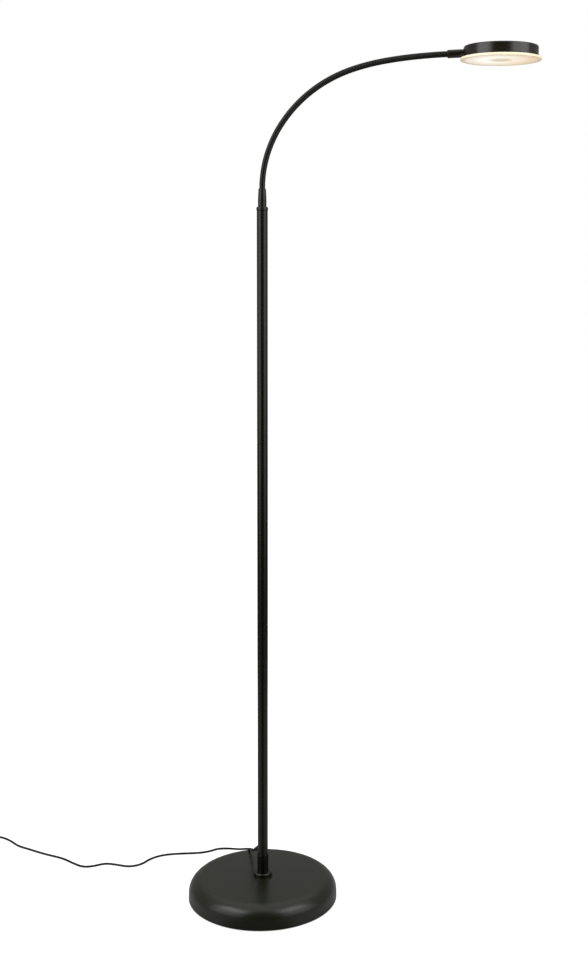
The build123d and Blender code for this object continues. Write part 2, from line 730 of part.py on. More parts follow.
def main():
    os.makedirs("parts", exist_ok=True)
    make_base()
    make_stem()
    make_collar_and_sleeve()
    make_pole()
    make_cap_and_ferrule()
    make_neck()
    make_head_shell()
    make_head_joint()
    make_disc()
    make_board()
    make_head_lead()
    make_gland_and_pole_lead()
    make_cord()
    make_adapter(make_coil())
    for name, shape in parts.items():
        write(name, shape)
    print(f"head at ({head_x:.1f}, {head_z:.1f}), {len(parts)} nodes")


main()
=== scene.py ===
from math import atan2, cos, pi, radians, sin, sqrt, tan

import bmesh
import bpy
from mathutils import Matrix, Vector


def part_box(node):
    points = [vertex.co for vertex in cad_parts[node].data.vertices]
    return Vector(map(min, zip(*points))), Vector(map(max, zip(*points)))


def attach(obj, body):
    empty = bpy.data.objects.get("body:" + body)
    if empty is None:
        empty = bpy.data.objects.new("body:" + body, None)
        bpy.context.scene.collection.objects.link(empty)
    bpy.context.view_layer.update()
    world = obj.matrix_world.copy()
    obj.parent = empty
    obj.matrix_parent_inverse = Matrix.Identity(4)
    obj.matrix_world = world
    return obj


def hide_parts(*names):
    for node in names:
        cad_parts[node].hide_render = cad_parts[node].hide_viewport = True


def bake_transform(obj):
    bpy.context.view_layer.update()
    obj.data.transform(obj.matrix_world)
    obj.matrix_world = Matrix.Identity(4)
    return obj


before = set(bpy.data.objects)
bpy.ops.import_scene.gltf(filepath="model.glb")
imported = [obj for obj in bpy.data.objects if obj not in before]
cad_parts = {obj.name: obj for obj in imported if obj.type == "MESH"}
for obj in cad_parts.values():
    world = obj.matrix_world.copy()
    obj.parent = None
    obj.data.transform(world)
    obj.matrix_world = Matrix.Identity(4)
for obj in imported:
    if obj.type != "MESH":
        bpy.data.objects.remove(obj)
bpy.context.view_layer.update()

scene = bpy.context.scene
scene.view_settings.view_transform = "Standard"


# ---- Camera ----
# A tall picture of the whole lamp, taken 2 metres in front of it from a little below the top
# of the pole, with a short telephoto lens. The frame is cropped off the lens's axis.
camera_place = (0.11876, -2.02449, 0.99707)
camera_turn = (79.1687, -0.7323, -0.7498)
camera_lens_mm = 51.08
camera_shift = (-0.0707, 0.0433)

camera = bpy.data.cameras.new("camera")
camera.lens = camera_lens_mm
camera.shift_x, camera.shift_y = camera_shift
camera_object = bpy.data.objects.new("camera", camera)
camera_object.location = camera_place
camera_object.rotation_euler = [radians(degree) for degree in camera_turn]
scene.collection.objects.link(camera_object)
scene.camera = camera_object


# ---- Studio ----
# Pale paper on the floor, a tall softbox on each side, a bright ceiling and a grey wall behind.
# The room on the camera's side stays dark, so round black pieces keep a dark middle. The paper
# carries painted shade: darker in front of the lamp and fading all round towards its far edge.
room_level = 0.03
ceiling_tilt = radians(12.0)            # towards the wall
ceiling_edges, ceiling_level = (0.673, 0.953), 0.65
wall_edges, wall_level = (-0.80, -0.30), 0.28
softbox_distance = 1.7
softboxes = [                           # turn from the camera's side, width, brightness
    ("softbox_left", -55.0, 1.6, 3.35), ("softbox_right", 60.0, 1.55, 3.1)]
softbox_bands = [                       # lower edge, height, share of the brightness
    ("", 1.5, 1.5, 1.0), ("_middle", 1.1, 0.4, 0.52), ("_skirt", 0.62, 0.48, 0.39),
    ("_hem", 0.25, 0.37, 0.31)]
floor_half_size = 6.0
floor_drop = 0.0003
floor_shade = 0.50
floor_front_edges = (-0.98, -0.78)      # back-to-front part of the way from the lamp
floor_front_painted_shades = (0.17, 0.02)       # painted shade in front of the lamp, near it and further off
floor_far_radii = (0.22, 0.8)           # between these the painted shade in front deepens
floor_painted_fade_radii = (0.8, 1.5)            # and between these painted shade fades the paper all round
floor_painted_fade_share = 0.1
floor_glow = 0.86                       # lifts the lit paper to white where the camera sees it
floor_painted_shadow_radii = (0.1150, 0.1180)     # no glow at the base's edge: a painted contact shadow under the base


def rise(tree, source, edges, low, high):
    """Soft step of a shader value from low to high."""
    step = tree.nodes.new("ShaderNodeMapRange")
    step.interpolation_type = "SMOOTHSTEP"
    step.inputs["From Min"].default_value, step.inputs["From Max"].default_value = edges
    step.inputs["To Min"].default_value, step.inputs["To Max"].default_value = low, high
    tree.links.new(source, step.inputs["Value"])
    return step.outputs["Result"]


def combined(tree, operation, first, second):
    """Result of a math node on two shader values."""
    node = tree.nodes.new("ShaderNodeMath")
    node.operation = operation
    tree.links.new(first, node.inputs[0])
    tree.links.new(second, node.inputs[1])
    return node.outputs["Value"]


def seen_directly(tree):
    """1 for what the camera sees, straight or through clear plastic, else 0."""
    path = tree.nodes.new("ShaderNodeLightPath")
    return combined(tree, "MAXIMUM", path.outputs["Is Camera Ray"],
                    path.outputs["Is Transmission Ray"])


world = bpy.data.worlds.new("studio")
scene.world = world
world.use_nodes = True
tree = world.node_tree
way = tree.nodes.new("ShaderNodeTexCoord").outputs["Generated"]
parts_of_way = tree.nodes.new("ShaderNodeSeparateXYZ")
tree.links.new(way, parts_of_way.inputs[0])
overhead = tree.nodes.new("ShaderNodeVectorMath")
overhead.operation = "DOT_PRODUCT"
overhead.inputs[1].default_value = (0, sin(ceiling_tilt), cos(ceiling_tilt))
tree.links.new(way, overhead.inputs[0])
ceiling_glow = rise(tree, overhead.outputs["Value"], ceiling_edges, room_level, ceiling_level)
wall_glow = rise(tree, parts_of_way.outputs["Y"], wall_edges, 0.0, wall_level)
white = tree.nodes.new("ShaderNodeMix")
white.inputs["B"].default_value = 1.0
tree.links.new(seen_directly(tree), white.inputs["Factor"])
tree.links.new(combined(tree, "ADD", ceiling_glow, wall_glow), white.inputs["A"])
sky = tree.nodes["Background"]
sky.inputs["Color"].default_value = (1, 1, 1, 1)
tree.links.new(white.outputs["Result"], sky.inputs["Strength"])

for name, turn, width, brightness in softboxes:
    side = Vector((sin(radians(turn)), -cos(radians(turn)), 0))
    for band, lower_edge, height, share in softbox_bands:
        lamp = bpy.data.lights.new(name + band, "AREA")
        lamp.shape = "RECTANGLE"
        lamp.size, lamp.size_y = width, height
        lamp.energy = brightness * share * pi * width * height
        lamp_object = bpy.data.objects.new(name + band, lamp)
        lamp_object.location = side * softbox_distance + Vector((0, 0, lower_edge + height / 2))
        lamp_object.rotation_euler = side.to_track_quat("Z", "Y").to_euler()
        lamp_object.visible_camera = False
        scene.collection.objects.link(lamp_object)

paper = bpy.data.materials.new("floor_paper")
paper.use_nodes = True
tree = paper.node_tree
tree.nodes.remove(tree.nodes["Principled BSDF"])
spot = tree.nodes.new("ShaderNodeTexCoord").outputs["Object"]
bearing = tree.nodes.new("ShaderNodeVectorMath")
bearing.operation = "NORMALIZE"
tree.links.new(spot, bearing.inputs[0])
parts_of_bearing = tree.nodes.new("ShaderNodeSeparateXYZ")
tree.links.new(bearing.outputs["Vector"], parts_of_bearing.inputs[0])
forward = parts_of_bearing.outputs["Y"]
distance = tree.nodes.new("ShaderNodeVectorMath")
distance.operation = "LENGTH"
tree.links.new(spot, distance.inputs[0])
far = distance.outputs["Value"]
# The paper's colour carries painted shade, darker in front of the lamp and towards its far edge.
painted_shade_in_front = combined(tree, "MULTIPLY", rise(tree, far, floor_far_radii, *floor_front_painted_shades),
                    rise(tree, forward, floor_front_edges, 1.0, 0.0))
elsewhere = rise(tree, forward, floor_front_edges, 0.0, floor_shade)
shade = combined(tree, "MULTIPLY", combined(tree, "ADD", painted_shade_in_front, elsewhere),
                 rise(tree, far, floor_painted_fade_radii, 1.0, floor_painted_fade_share))
matt = tree.nodes.new("ShaderNodeBsdfDiffuse")
tree.links.new(shade, matt.inputs["Color"])
# White glow where the camera sees the paper, left out at the base's edge as a painted contact
# shadow.
glow = combined(tree, "ADD", rise(tree, far, floor_painted_shadow_radii, 0.0, floor_glow),
                rise(tree, far, floor_far_radii, 0.0, 1.0 - floor_glow))
shine = tree.nodes.new("ShaderNodeEmission")
tree.links.new(combined(tree, "MULTIPLY", seen_directly(tree), glow), shine.inputs["Strength"])
both = tree.nodes.new("ShaderNodeAddShader")
tree.links.new(matt.outputs[0], both.inputs[0])
tree.links.new(shine.outputs[0], both.inputs[1])
tree.links.new(both.outputs[0], tree.nodes["Material Output"].inputs["Surface"])

floor_mesh = bmesh.new()
bmesh.ops.create_grid(floor_mesh, x_segments=1, y_segments=1, size=floor_half_size)
bmesh.ops.translate(floor_mesh, vec=(0, 0, -floor_drop), verts=floor_mesh.verts)
floor_data = bpy.data.meshes.new("floor")
floor_mesh.to_mesh(floor_data)
floor_mesh.free()
floor_data.materials.append(paper)
floor = bpy.data.objects.new("floor", floor_data)
scene.collection.objects.link(floor)


# ---- Base cover ----
# Pressed steel cover, 235 mm across, powder-coated satin black: a near-upright skirt, a big
# rolled shoulder and a slightly domed crown with a flat seat for the collar.
mm = 0.001
base_foot, base_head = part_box("base_cover")
base_radius = base_head.x
crown_rise = 2.0 * mm
crown_flat_radius = 20.0 * mm
skirt_lean = 0.8 * mm
shoulder_radius = 22.7 * mm
cover_wall = 1.2 * mm
cover_edge_rounding = 0.4 * mm
rod_hole_radius = 5.15 * mm
base_colour = (0.0082, 0.0097, 0.0038)


def grained_surface():
    """Fine grain of a coat or a moulding: specks in colour and gloss over a soft relief."""
    grain_detail = 3.0
    cloud_scale, cloud_detail = 17.0, 4.0
    speck_edges, speck_shades = (0.35, 0.7), (0.86, 1.3)
    relief_strength = 0.35
    group = bpy.data.node_groups.new("grained_surface", "ShaderNodeTree")
    sockets = (("Colour", "INPUT", "Color"), ("Roughness", "INPUT", "Float"),
               ("Grain", "INPUT", "Float"), ("Relief", "INPUT", "Float"),
               ("Unevenness", "INPUT", "Float"), ("Colour", "OUTPUT", "Color"),
               ("Roughness", "OUTPUT", "Float"), ("Normal", "OUTPUT", "Vector"))
    for name, way, kind in sockets:
        group.interface.new_socket(name, in_out=way, socket_type=f"NodeSocket{kind}")
    nodes, links = group.nodes, group.links
    given = nodes.new("NodeGroupInput")
    result = nodes.new("NodeGroupOutput")
    spot = nodes.new("ShaderNodeTexCoord").outputs["Object"]
    grain = nodes.new("ShaderNodeTexNoise")
    grain.inputs["Detail"].default_value = grain_detail
    links.new(given.outputs["Grain"], grain.inputs["Scale"])
    cloud = nodes.new("ShaderNodeTexNoise")
    cloud.inputs["Scale"].default_value = cloud_scale
    cloud.inputs["Detail"].default_value = cloud_detail

    roughness = given.outputs["Roughness"]
    for texture in (cloud, grain):
        links.new(spot, texture.inputs["Vector"])
        uneven = nodes.new("ShaderNodeMath")
        uneven.operation = "MULTIPLY_ADD"
        links.new(texture.outputs["Fac"], uneven.inputs[0])
        links.new(given.outputs["Unevenness"], uneven.inputs[1])
        links.new(roughness, uneven.inputs[2])
        roughness = uneven.outputs[0]
    links.new(roughness, result.inputs["Roughness"])

    specks = nodes.new("ShaderNodeMapRange")
    specks.inputs["From Min"].default_value, specks.inputs["From Max"].default_value = speck_edges
    specks.inputs["To Min"].default_value, specks.inputs["To Max"].default_value = speck_shades
    links.new(grain.outputs["Fac"], specks.inputs["Value"])
    tint = nodes.new("ShaderNodeVectorMath")
    tint.operation = "SCALE"
    links.new(given.outputs["Colour"], tint.inputs[0])
    links.new(specks.outputs[0], tint.inputs["Scale"])
    links.new(tint.outputs[0], result.inputs["Colour"])

    bump = nodes.new("ShaderNodeBump")
    bump.inputs["Strength"].default_value = relief_strength
    links.new(grain.outputs["Fac"], bump.inputs["Height"])
    links.new(given.outputs["Relief"], bump.inputs["Distance"])
    links.new(bump.outputs[0], result.inputs["Normal"])
    return group


grain_group = grained_surface()


def coated(name, colour, roughness, grain=900.0, relief=0.00002, unevenness=0.06,
           metallic=0.0, specular=0.5):
    """A painted, moulded or plated finish with its fine grain, of the given mean roughness."""
    material = bpy.data.materials.new(name)
    material.use_nodes = True
    nodes, links = material.node_tree.nodes, material.node_tree.links
    shader = nodes["Principled BSDF"]
    shader.inputs["Metallic"].default_value = metallic
    shader.inputs["Specular IOR Level"].default_value = specular
    surface = nodes.new("ShaderNodeGroup")
    surface.node_tree = grain_group
    surface.inputs["Colour"].default_value = (*colour, 1)
    surface.inputs["Roughness"].default_value = roughness - unevenness
    surface.inputs["Grain"].default_value = grain
    surface.inputs["Relief"].default_value = relief
    surface.inputs["Unevenness"].default_value = unevenness
    for output, socket in (("Colour", "Base Color"), ("Roughness", "Roughness"),
                           ("Normal", "Normal")):
        links.new(surface.outputs[output], shader.inputs[socket])
    return material


def turned(outline, steps=96, closed=True):
    """Outline of (radius, height, corner rounding) points, spun once about the upright axis."""
    mesh = bmesh.new()
    corners = [mesh.verts.new((radius, 0, height)) for radius, height, _ in outline]
    pairs = list(zip(corners, corners[1:] + corners[:1]))
    for pair in pairs if closed else pairs[:-1]:
        mesh.edges.new(pair)
    places = [corner.co.copy() for corner in corners]
    for index, (_, _, rounding) in enumerate(outline):
        if rounding:
            before = places[index] - places[index - 1]
            after = places[(index + 1) % len(places)] - places[index]
            bmesh.ops.bevel(mesh, geom=[corners[index]], affect="VERTICES", segments=8,
                            offset=rounding * tan(before.angle(after) / 2), profile=0.5,
                            material=-1)
    bmesh.ops.spin(mesh, geom=mesh.verts[:] + mesh.edges[:], cent=(0, 0, 0), axis=(0, 0, 1),
                   angle=2 * pi, steps=steps, use_merge=True)
    return mesh


def add_piece(name, mesh, material, body, replaced=(), place=None, crease=35.0):
    """A finished mesh as one piece of the lamp; it rides on its body and replaces CAD nodes."""
    if place is not None:
        bmesh.ops.transform(mesh, matrix=place, verts=mesh.verts)
    bmesh.ops.remove_doubles(mesh, verts=mesh.verts, dist=0.000001)
    bmesh.ops.dissolve_degenerate(mesh, edges=mesh.edges, dist=0.0000001)
    bmesh.ops.recalc_face_normals(mesh, faces=mesh.faces)
    data = bpy.data.meshes.new(name)
    mesh.to_mesh(data)
    mesh.free()
    for finish in material if isinstance(material, list) else [material]:
        data.materials.append(finish)
    data.shade_smooth()
    data.set_sharp_from_angle(angle=radians(crease))
    piece = bpy.data.objects.new(name, data)
    scene.collection.objects.link(piece)
    if body:
        evened = piece.modifiers.new("even_shading", "WEIGHTED_NORMAL")
        evened.keep_sharp = True
        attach(piece, body)
    if replaced:
        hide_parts(*replaced)
    return piece


base_paint = coated("satin_black_base", base_colour, roughness=0.3)
crown_top = base_head.z
inner_top = crown_top - cover_wall
cover = turned([
    (base_radius, base_foot.z, cover_edge_rounding),
    (base_radius - skirt_lean, crown_top - crown_rise, shoulder_radius),
    (crown_flat_radius, crown_top, 0),
    (rod_hole_radius, crown_top, 0),
    (rod_hole_radius, inner_top, 0),
    (crown_flat_radius, inner_top, 0),
    (base_radius - skirt_lean - cover_wall, inner_top - crown_rise,
     shoulder_radius - cover_wall),
    (base_radius - cover_wall, base_foot.z, cover_edge_rounding)], steps=144)
add_piece("base_shell", cover, base_paint, "stand", ["base_cover"])


# ---- Under the base ----
# Foam pad glued below a steel plate; the plate's three screws hold the iron weight, and a rod
# with washer and nut clamps base, collar and sleeve. Only the pad shows, from underneath.
foam_colour = (0.016, 0.016, 0.016)
zinc_colour = (0.58, 0.58, 0.56)
iron_colour = (0.11, 0.11, 0.11)

foam = coated("foam_pad", foam_colour, roughness=0.85, grain=2600.0, relief=0.0002,
              unevenness=0.1, specular=0.3)
zinc = coated("bright_zinc", zinc_colour, roughness=0.34, grain=500.0, metallic=1.0)
cast_iron = coated("cast_iron", iron_colour, roughness=0.62, grain=420.0, relief=0.0002,
                   unevenness=0.12, metallic=1.0)


def finish_nodes(material, *names):
    """Gives CAD nodes that stay as they are their finish."""
    for name in names:
        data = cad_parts[name].data
        data.materials.clear()
        data.materials.append(material)


finish_nodes(foam, "base_pad")
finish_nodes(cast_iron, "base_weight")
finish_nodes(zinc, "base_plate", "base_plate_screws", "stem_rod", "stem_washer", "stem_nut")


# ---- Collar and sleeve ----
# A small rounded steel collar on the crown, and above it the moulded nylon sleeve with twelve
# shallow flutes that holds the foot of the pole.
collar_foot, collar_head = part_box("pole_collar")
sleeve_foot, sleeve_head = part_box("pole_sleeve")
collar_edge_radius = 2.4 * mm
collar_foot_rounding = 0.5 * mm
sleeve_radius = 8.8 * mm
sleeve_bore = 8.06 * mm
sleeve_bevel = 0.18 * mm
flute_count = 12
flute_depth = 0.45 * mm
flute_margin = 3.0 * mm
flute_run_out = 0.8 * mm
points_a_flute = 8
paint_colour = (0.0045, 0.0048, 0.0010)
paint_roughness = 0.27
nylon_colour = (0.0022, 0.0024, 0.0016)

satin_paint = coated("satin_black_paint", paint_colour, paint_roughness, specular=0.46)
collar = turned([
    (collar_head.x, collar_foot.z, collar_foot_rounding),
    (collar_head.x, collar_head.z, collar_edge_radius),
    (rod_hole_radius, collar_head.z, 0), (rod_hole_radius, collar_foot.z, 0)])
add_piece("collar", collar, satin_paint, "stand", ["pole_collar"])

nylon = coated("black_nylon", nylon_colour, roughness=0.24, grain=1200.0, unevenness=0.04,
               specular=0.34)
sleeve = bmesh.new()
bmesh.ops.create_circle(sleeve, segments=flute_count * points_a_flute, radius=sleeve_radius)
bmesh.ops.translate(sleeve, vec=(0, 0, sleeve_foot.z), verts=sleeve.verts)
edges = sleeve.edges[:]
flutes_from, flutes_to = sleeve_foot.z + flute_margin, sleeve_head.z - flute_margin
sleeve_wall = sleeve_radius - sleeve_bore
# Height, depth of the flutes and set-back of each ring, up the outside and down the bore.
sleeve_rings = [
    (flutes_from, 0, 0), (flutes_from + flute_run_out, flute_depth, 0),
    (flutes_to - flute_run_out, flute_depth, 0), (flutes_to, 0, 0),
    (sleeve_head.z - sleeve_bevel, 0, 0), (sleeve_head.z, 0, sleeve_bevel),
    (sleeve_head.z, 0, sleeve_wall), (sleeve_foot.z, 0, sleeve_wall)]
for height, depth, set_back in sleeve_rings:
    grown = bmesh.ops.extrude_edge_only(sleeve, edges=edges)["geom"]
    edges = [item for item in grown if isinstance(item, bmesh.types.BMEdge)]
    for spot in grown:
        if isinstance(spot, bmesh.types.BMVert):
            flute_angle = atan2(spot.co.y, spot.co.x) * flute_count
            hollow = max(0.0, cos(flute_angle)) * depth
            outwards = Vector((spot.co.x, spot.co.y, 0)).normalized()
            spot.co = outwards * (sleeve_radius - hollow - set_back)
            spot.co.z = height
rims = [edge for edge in sleeve.edges if edge.is_boundary]
bmesh.ops.bridge_loops(sleeve, edges=rims)
add_piece("fluted_sleeve", sleeve, nylon, "stand", ["pole_sleeve"],
          crease=25.0)


# ---- Pole ----
# Three equal steel tubes, 16 mm across with walls of 1 mm, screwed end to end on couplers that
# don't show. A fine bevel on each tube's ends makes the two hairline joints.
pole_radius = 8.0 * mm
tube_bore = 7.0 * mm
tube_end_bevel = 0.5 * mm
cap_seam = 6.0 * mm         # hairline groove, this far below the top of the uppermost tube
seam_depth = 0.25 * mm

for part in ("lower", "middle", "upper"):
    foot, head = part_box(f"pole_tube_{part}")
    seam = []
    if part == "upper":
        seam = [(pole_radius, head.z - cap_seam - seam_depth, 0),
                (pole_radius - seam_depth, head.z - cap_seam, 0),
                (pole_radius, head.z - cap_seam + seam_depth, 0)]
    tube = turned([
        (tube_bore, foot.z, 0), (pole_radius - tube_end_bevel, foot.z, 0),
        (pole_radius, foot.z + tube_end_bevel, 0), *seam,
        (pole_radius, head.z - tube_end_bevel, 0),
        (pole_radius - tube_end_bevel, head.z, 0), (tube_bore, head.z, 0)], steps=64)
    add_piece(f"tube_{part}", tube, satin_paint, "stand", [f"pole_tube_{part}"])
finish_nodes(zinc, "pole_coupler_lower", "pole_coupler_upper", "pole_foot_plug")


# ---- Cap and lower ferrule ----
# A turned cap with a narrow lip closes the pole, and a slim ferrule with a fine groove, drawn
# in with a ring nut from below, holds the gooseneck's foot.
cap_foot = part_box("pole_tube_upper")[1].z
cap_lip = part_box("pole_cap")[1]
cap_shoulder_radius = 2.2 * mm
cap_edge_radius = 0.5 * mm
thread_hole = 4.66 * mm
neck_socket = 4.33 * mm
ferrule_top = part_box("neck_ferrule_lower")[1].z
ferrule_radii = {"foot": 6.0 * mm, "waist": 6.3 * mm, "middle": 6.0 * mm, "top": 5.4 * mm}
waist_height, waist_rounding = 4.0 * mm, 2.0 * mm
middle_height, middle_rounding = 14.5 * mm, 8.0 * mm
top_bevel, top_rounding = 0.2 * mm, 0.5 * mm
ring_height = 8.4 * mm
ring_half = 0.45 * mm
ring_depth = 0.35 * mm
ring_set_back = 0.05 * mm       # of the groove's upper edge

cap = turned([
    (cap_lip.x, cap_foot, cap_edge_radius), (cap_lip.x, cap_lip.z, cap_shoulder_radius),
    (thread_hole, cap_lip.z, 0), (thread_hole, cap_foot, 0)], steps=64)
add_piece("cap", cap, satin_paint, "stand", ["pole_cap"])

ferrule_ring = cap_lip.z + ring_height
ferrule = turned([
    (ferrule_radii["foot"], cap_lip.z, 0),
    (ferrule_radii["waist"], cap_lip.z + waist_height, waist_rounding),
    (ferrule_radii["waist"], ferrule_ring - ring_half, 0),
    (ferrule_radii["waist"] - ring_depth, ferrule_ring, 0),
    (ferrule_radii["waist"] - ring_set_back, ferrule_ring + ring_half, 0),
    (ferrule_radii["middle"], cap_lip.z + middle_height, middle_rounding),
    (ferrule_radii["top"], ferrule_top - top_bevel, top_rounding),
    (neck_socket, ferrule_top, 0), (neck_socket, cap_lip.z, 0)], steps=64)
add_piece("ferrule_lower", ferrule, satin_paint, "stand", ["neck_ferrule_lower"],
          crease=24.0)
finish_nodes(zinc, "neck_ring_nut")


# ---- Gooseneck ----
# Steel wire wound into a tube 8.5 mm across, painted black, that stays as it is bent. Each
# piece runs from the middle of one link to the middle of the next and bends at the knuckle.
neck_radius = 4.25 * mm
link_length = 45.2 * mm
link_bends = [bend * mm for bend in (159.0, 166.0, 187.0, 194.0, 209.0, 330.0, 620.0, 885.0)]
link_count = len(link_bends)
neck_length = link_length * link_count
neck_held = 20.0 * mm       # length inside each ferrule
winding_pitch = 2.26 * mm
winding_depth = 0.2 * mm
winding_shape = [           # part of a turn, part of the groove's depth
    (0.0, 1.0), (0.13, 0.15), (0.5, 0.0), (0.87, 0.15)]
neck_sides = 24
neck_colour = (0.0045, 0.0049, 0.0030)


def down_arc(x, z, heading, bend, distance):
    """Place and heading a distance further along an arc that turns down."""
    turn = distance / bend
    x += bend * (sin(heading) - sin(heading - turn))
    z += bend * (cos(heading - turn) - cos(heading))
    return x, z, heading - turn


knuckles = [(0.0, ferrule_top, pi / 2)]
for bend in link_bends:
    knuckles.append(down_arc(*knuckles[-1], bend, link_length))


def neck_place(distance):
    """Frame on the neck's line at a distance from the lower ferrule, +Z along the neck."""
    if 0 <= distance <= neck_length:
        index = min(int(distance / link_length), link_count - 1)
        x, z, heading = down_arc(*knuckles[index], link_bends[index],
                                 distance - index * link_length)
    else:
        x, z, heading = knuckles[0 if distance < 0 else -1]
        beyond = distance if distance < 0 else distance - neck_length
        x, z = x + beyond * cos(heading), z + beyond * sin(heading)
    return Matrix.Translation((x, 0, z)) @ Matrix.Rotation(pi / 2 - heading, 4, "Y")


def wound_tube(start, end):
    """Length of wound tube between two distances along the neck, closed at both ends."""
    windings = max(1, round((end - start) / winding_pitch))
    turn_length = (end - start) / windings
    rings = [(neck_place(start + turn_length * (turn + along)), neck_radius - winding_depth * cut)
             for turn in range(windings) for along, cut in winding_shape]
    rings.append((neck_place(end), neck_radius - winding_depth))
    mesh = bmesh.new()
    bmesh.ops.create_circle(mesh, cap_ends=True, segments=neck_sides, radius=rings[0][1],
                            matrix=rings[0][0])
    edges = mesh.edges[:]
    for (before, old), (after, new) in zip(rings, rings[1:]):
        grown = bmesh.ops.extrude_edge_only(mesh, edges=edges)["geom"]
        edges = [item for item in grown if isinstance(item, bmesh.types.BMEdge)]
        spots = [item for item in grown if isinstance(item, bmesh.types.BMVert)]
        move = after @ Matrix.Diagonal((new / old, new / old, 1, 1)) @ before.inverted()
        bmesh.ops.transform(mesh, matrix=move, verts=spots)
    bmesh.ops.contextual_create(mesh, geom=edges)
    return mesh


neck_paint = coated("gooseneck_paint", neck_colour, roughness=0.3, grain=1500.0,
                    specular=0.32)
middles = [link_length * (index + 0.5) for index in range(link_count)]
add_piece("neck_root", wound_tube(-neck_held, middles[0]), neck_paint, "stand",
          ["neck_link_1"], crease=30.0)
for index, (start, end) in enumerate(zip(middles, middles[1:])):
    piece = add_piece(f"neck_bend_{index + 1}", wound_tube(start, end), neck_paint, None,
                      [f"neck_link_{index + 2}"], crease=30.0)
    tuple(neck_place(start).translation)
    tuple(neck_place(end).translation)
    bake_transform(piece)
add_piece("neck_tip", wound_tube(middles[-1], neck_length + neck_held), neck_paint, "head",
          crease=30.0)


# ---- Upper ferrule ----
# The same turned ferrule at the neck's far end, its face hollowed to sit on the round wall of
# the housing, with a threaded tail and nut inside.
upper_ferrule_radius = 5.7 * mm
upper_ferrule_length = 23.0 * mm
upper_ferrule_chamfer = 0.6 * mm
head_radius = 53.3 * mm
seat_gap = 0.06 * mm
# A lighter, warmer copy of the satin black: painted light on the upper ferrule, which sits in
# shade.
head_colour = (0.0115, 0.0098, 0.0045)
upper_seat = neck_place(neck_length + upper_ferrule_length)

ferrule = turned([
    (neck_socket, -upper_ferrule_length, 0),
    (upper_ferrule_radius - upper_ferrule_chamfer, -upper_ferrule_length, 0),
    (upper_ferrule_radius, -upper_ferrule_length + upper_ferrule_chamfer, 0),
    (upper_ferrule_radius, -seat_gap, 0), (neck_socket, -seat_gap, 0)], steps=64)
for spot in ferrule.verts:
    if spot.co.z > -upper_ferrule_length / 2:
        spot.co.z += head_radius - sqrt(head_radius ** 2 - spot.co.y ** 2)
# The lighter head paint lifts the shaded ferrule as painted light; the housing wears it too.
head_paint = coated("satin_black_head", head_colour, paint_roughness)
add_piece("ferrule_upper", ferrule, head_paint, "head", ["neck_ferrule_upper"],
          place=upper_seat, crease=24.0)
finish_nodes(zinc, "head_nut")


# ---- Housing ----
# Spun aluminium drum, 107 mm across and 15 mm high, open below, in the same satin black, with
# a rounded top edge and a round recess for the touch button.
head_height = 15.3 * mm
head_wall = 1.6 * mm
head_edge_radius = 2.0 * mm
head_rim_rounding = 0.3 * mm
head_tilt = radians(0.76)
ferrule_entry_height = 5.8 * mm
touch_radius = 8.0 * mm
touch_gap = 0.1 * mm
touch_recess, touch_recess_rounding = 0.8 * mm, 0.2 * mm
touch_proud = 0.4 * mm
touch_edge_rounding = 0.3 * mm
touch_stem_radius = 2.4 * mm
touch_stem_end = 2.6 * mm           # below the housing's ceiling
touch_dish = [(4.0 * mm, 0.15 * mm, 4.0 * mm), (0, 0.2 * mm, 0)]    # radius, depth, rounding
button_colour = (0.008, 0.008, 0.008)

to_rim = Matrix.Rotation(-head_tilt, 4, "Y")
head_place = (Matrix.Translation(upper_seat.translation) @ to_rim
              @ Matrix.Translation((head_radius, 0, -ferrule_entry_height)))
ceiling = head_height - head_wall
recess_floor = head_height - touch_recess
housing = turned([
    (head_radius, 0, head_rim_rounding), (head_radius, head_height, head_edge_radius),
    (touch_radius + touch_gap, head_height, touch_recess_rounding),
    (touch_radius + touch_gap, recess_floor, 0),
    (touch_stem_radius + touch_gap, recess_floor, 0),
    (touch_stem_radius + touch_gap, ceiling, 0),
    (head_radius - head_wall, ceiling, head_edge_radius - head_wall),
    (head_radius - head_wall, 0, head_rim_rounding)], steps=128)
add_piece("housing", housing, head_paint, "head", ["head_shell"],
          place=head_place)

button_black = coated("touch_button_black", button_colour, roughness=0.2, unevenness=0.03)
button_top = head_height + touch_proud
button = turned([
    (0, ceiling - touch_stem_end, 0), (touch_stem_radius, ceiling - touch_stem_end, 0),
    (touch_stem_radius, recess_floor, 0), (touch_radius, recess_floor, 0),
    (touch_radius, button_top, touch_edge_rounding),
    *[(radius, button_top - depth, rounding) for radius, depth, rounding in touch_dish]],
    steps=64, closed=False)
add_piece("touch_pad", button, button_black, "head", ["touch_button"],
          place=head_place)


# ---- Opal disc ----
# Moulded acrylic disc, wider than the housing and snapped into it by a hoop. Its frosted
# middle glows warm white from the LEDs above; its outer flange is clear and lies outside the
# LEDs, with a faint painted glow for the light that reaches it.
disc_radius = 58.3 * mm
disc_thickness = 3.2 * mm
disc_gap = 0.5 * mm
disc_edge_rounding = 0.7 * mm
disc_step_radius = 51.0 * mm
disc_step_depth = 0.4 * mm
hoop_outer, hoop_inner = 51.5 * mm, 50.1 * mm
hoop_top = 4.0 * mm
hoop_rounding = 0.3 * mm
hoop_clearance = 0.1 * mm           # above the flange, where the opal of the hoop begins
opal_colour = (0.80, 0.77, 0.72)
opal_roughness = 0.5
opal_glow = 0.82
opal_rings = [                      # part of the way to the step, colour of the light
    (0.0, (0.64, 0.56, 0.38)), (0.22, (0.68, 0.60, 0.42)), (0.38, (0.97, 0.96, 0.88)),
    (0.62, (0.98, 0.96, 0.88)), (0.78, (0.88, 0.80, 0.66)), (0.92, (0.80, 0.72, 0.58)),
    (1.0, (0.84, 0.78, 0.66))]
warm_tint = (0.94, 0.74, 0.56)      # towards the outer end of the arm
warm_from, warm_to = -0.4, 0.9      # in disc radii
flange_colour = (0.62, 0.55, 0.44)
flange_roughness = 0.3
flange_clearness = 0.3
# Painted glow on the clear flange, for the LED light that reaches it.
flange_light, flange_glow = (1.0, 0.88, 0.70), 0.32

